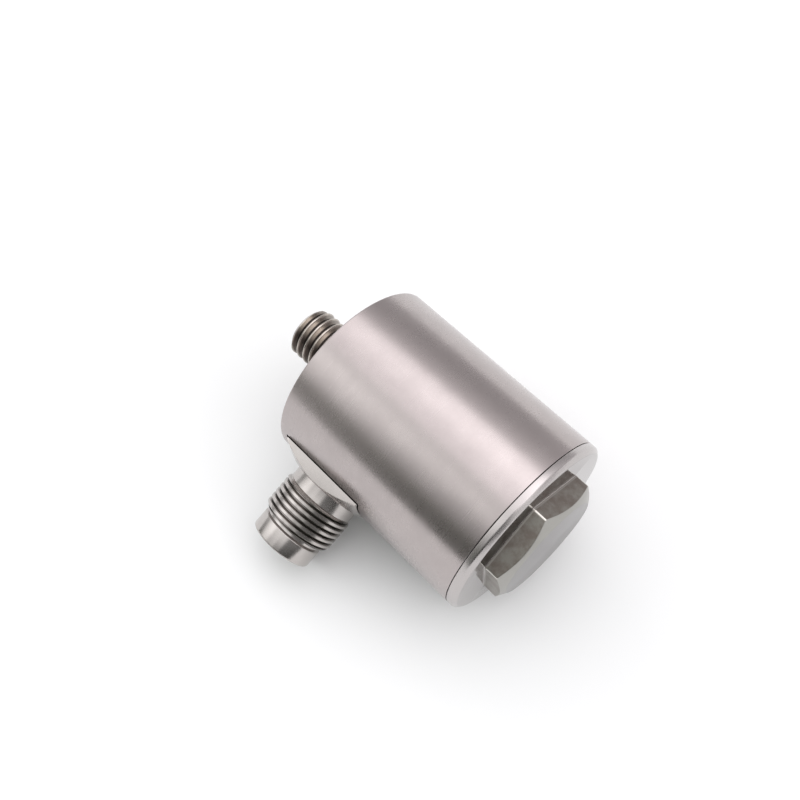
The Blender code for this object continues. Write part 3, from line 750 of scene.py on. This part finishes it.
def make_world():
    """A light tent round the sensor, brightest overhead and dark on the connector's side.

    Its light is graded round the body's axis, and again from one end of the axis to the other.
    """
    world = Nodes(bpy.data.worlds.new("tent"))
    bpy.context.scene.world = world.owner
    direction = world.node("ShaderNodeTexCoord").outputs["Generated"]
    up = world.dot(direction, UP)
    sideways = world.dot(direction, SIDE)
    along = world.dot(direction, AXIS)

    def degrees(across):
        return world.math("DEGREES", world.math("ARCTAN2", across, up))

    sky = world.ramp(
        degrees(sideways),
        [
            (-180.0, grey(0.8)),
            (-95.0, grey(0.62, ROSY)),
            (-82.0, grey(0.52, ROSY)),
            (-72.0, grey(0.48, ROSY)),
            (-62.0, grey(0.52, ROSY)),
            (-46.0, grey(0.72, ROSY)),
            (-40.0, grey(1.05, ROSY)),
            (-35.0, grey(1.62, ROSY)),
            (-22.0, grey(1.7, ROSY)),
            (-12.0, grey(1.52, ROSY)),
            (-3.0, grey(1.28, ROSY)),
            (8.0, grey(1.2, ROSY)),
            (14.0, grey(0.92)),
            (20.0, grey(0.88)),
            (28.0, grey(1.0)),
            (38.0, grey(0.9)),
            (48.0, grey(0.68)),
            (58.0, grey(0.46)),
            (66.0, grey(0.26, WARM)),
            (73.0, grey(0.16, WARM)),
            (90.0, grey(0.16, WARM)),
            (98.0, grey(0.5, WARM)),
            (180.0, grey(0.8)),
        ],
    )
    ends = world.ramp(
        degrees(along),
        [
            (-180.0, grey(1.0)),
            (-95.0, grey(0.9)),
            (-85.0, grey(0.8)),
            (-60.0, grey(0.75)),
            (-27.0, grey(0.79)),
            (-13.0, grey(1.0)),
            (82.0, grey(1.0)),
            (89.0, grey(1.4)),
            (180.0, grey(1.0)),
        ],
    )

    # Close to the axis the angle round it turns fast, so the sky blends to one grey there.
    pole = world.span(world.math("ABSOLUTE", along), 0.86, 0.98, smooth=True)
    tent = world.node("ShaderNodeMix", {"data_type": "RGBA", "blend_type": "MULTIPLY"})
    world.feed(tent.inputs[0], 1.0)
    world.feed(tent.inputs[6], world.mix(pole, sky, grey(0.6)))
    world.feed(tent.inputs[7], ends)

    # Two dark screens on the connector's side, one high beyond the hexagon and one low beside it.
    high_screen = world.math(
        "MULTIPLY",
        world.span(degrees(along), 24.0, 42.0, smooth=True),
        world.span(sideways, 0.0, 0.2, smooth=True),
    )
    low_screen = world.math(
        "MULTIPLY",
        world.span(degrees(along), 0.0, 10.0, 0.0, 0.7, smooth=True),
        world.span(sideways, 0.58, 0.72, smooth=True),
    )
    screens = world.math("MAXIMUM", high_screen, low_screen)
    kept = world.span(screens, 0.0, 1.0, 1.0, 0.22)

    # A soft lamp behind the stud, and a weak glow round it.
    lamp_at = (SIDE * 0.45 + UP * 0.56 - AXIS * 0.70).normalized()
    lamp = world.span(world.dot(direction, lamp_at), 0.90, 0.99, 0.0, 0.4, smooth=True)
    rising = world.span(along, -0.2, -0.5, 0.0, 0.22)
    glow = world.math("MULTIPLY", rising, world.span(along, -0.65, -0.85, 1.0, 0.0, smooth=True))
    glow = world.math("MULTIPLY", glow, world.span(sideways, -0.9, 0.4))
    extra = world.math("ADD", lamp, glow)
    scale = {"operation": "SCALE"}
    lit = world.node("ShaderNodeVectorMath", scale, {0: tent.outputs[2], "Scale": kept})
    total = world.node("ShaderNodeVectorMath", {"operation": "ADD"}, {0: lit.outputs[0], 1: extra})
    background = world.tree.nodes["Background"]
    world.feed(background.inputs["Color"], total.outputs[0])
    world.feed(background.inputs["Strength"], LIGHT_LEVEL)


def make_camera():
    """The photograph's view: the sensor lies with its stud to the upper left."""
    place = Vector((-0.01121, -0.12249, 0.05272))
    aim = Vector((-0.00148, -0.00169, 0.00860))
    roll = math.radians(-132.33)
    look = (aim - place).normalized()
    level = (AXIS - look * AXIS.dot(look)).normalized()
    across = look.cross(level)
    top = level * math.cos(roll) + across * math.sin(roll)
    side = look.cross(top)
    data = bpy.data.cameras.new("camera")
    data.sensor_width = 36.0
    data.lens = 41.85
    data.clip_start = 0.005
    data.clip_end = 20.0
    camera = bpy.data.objects.new("camera", data)
    basis = Matrix((side, top, -look)).transposed().to_4x4()
    camera.matrix_world = Matrix.Translation(place) @ basis
    bpy.context.scene.collection.objects.link(camera)
    bpy.context.scene.camera = camera


make_floor()
make_world()
make_camera()
bpy.context.scene.view_settings.view_transform = "Standard"
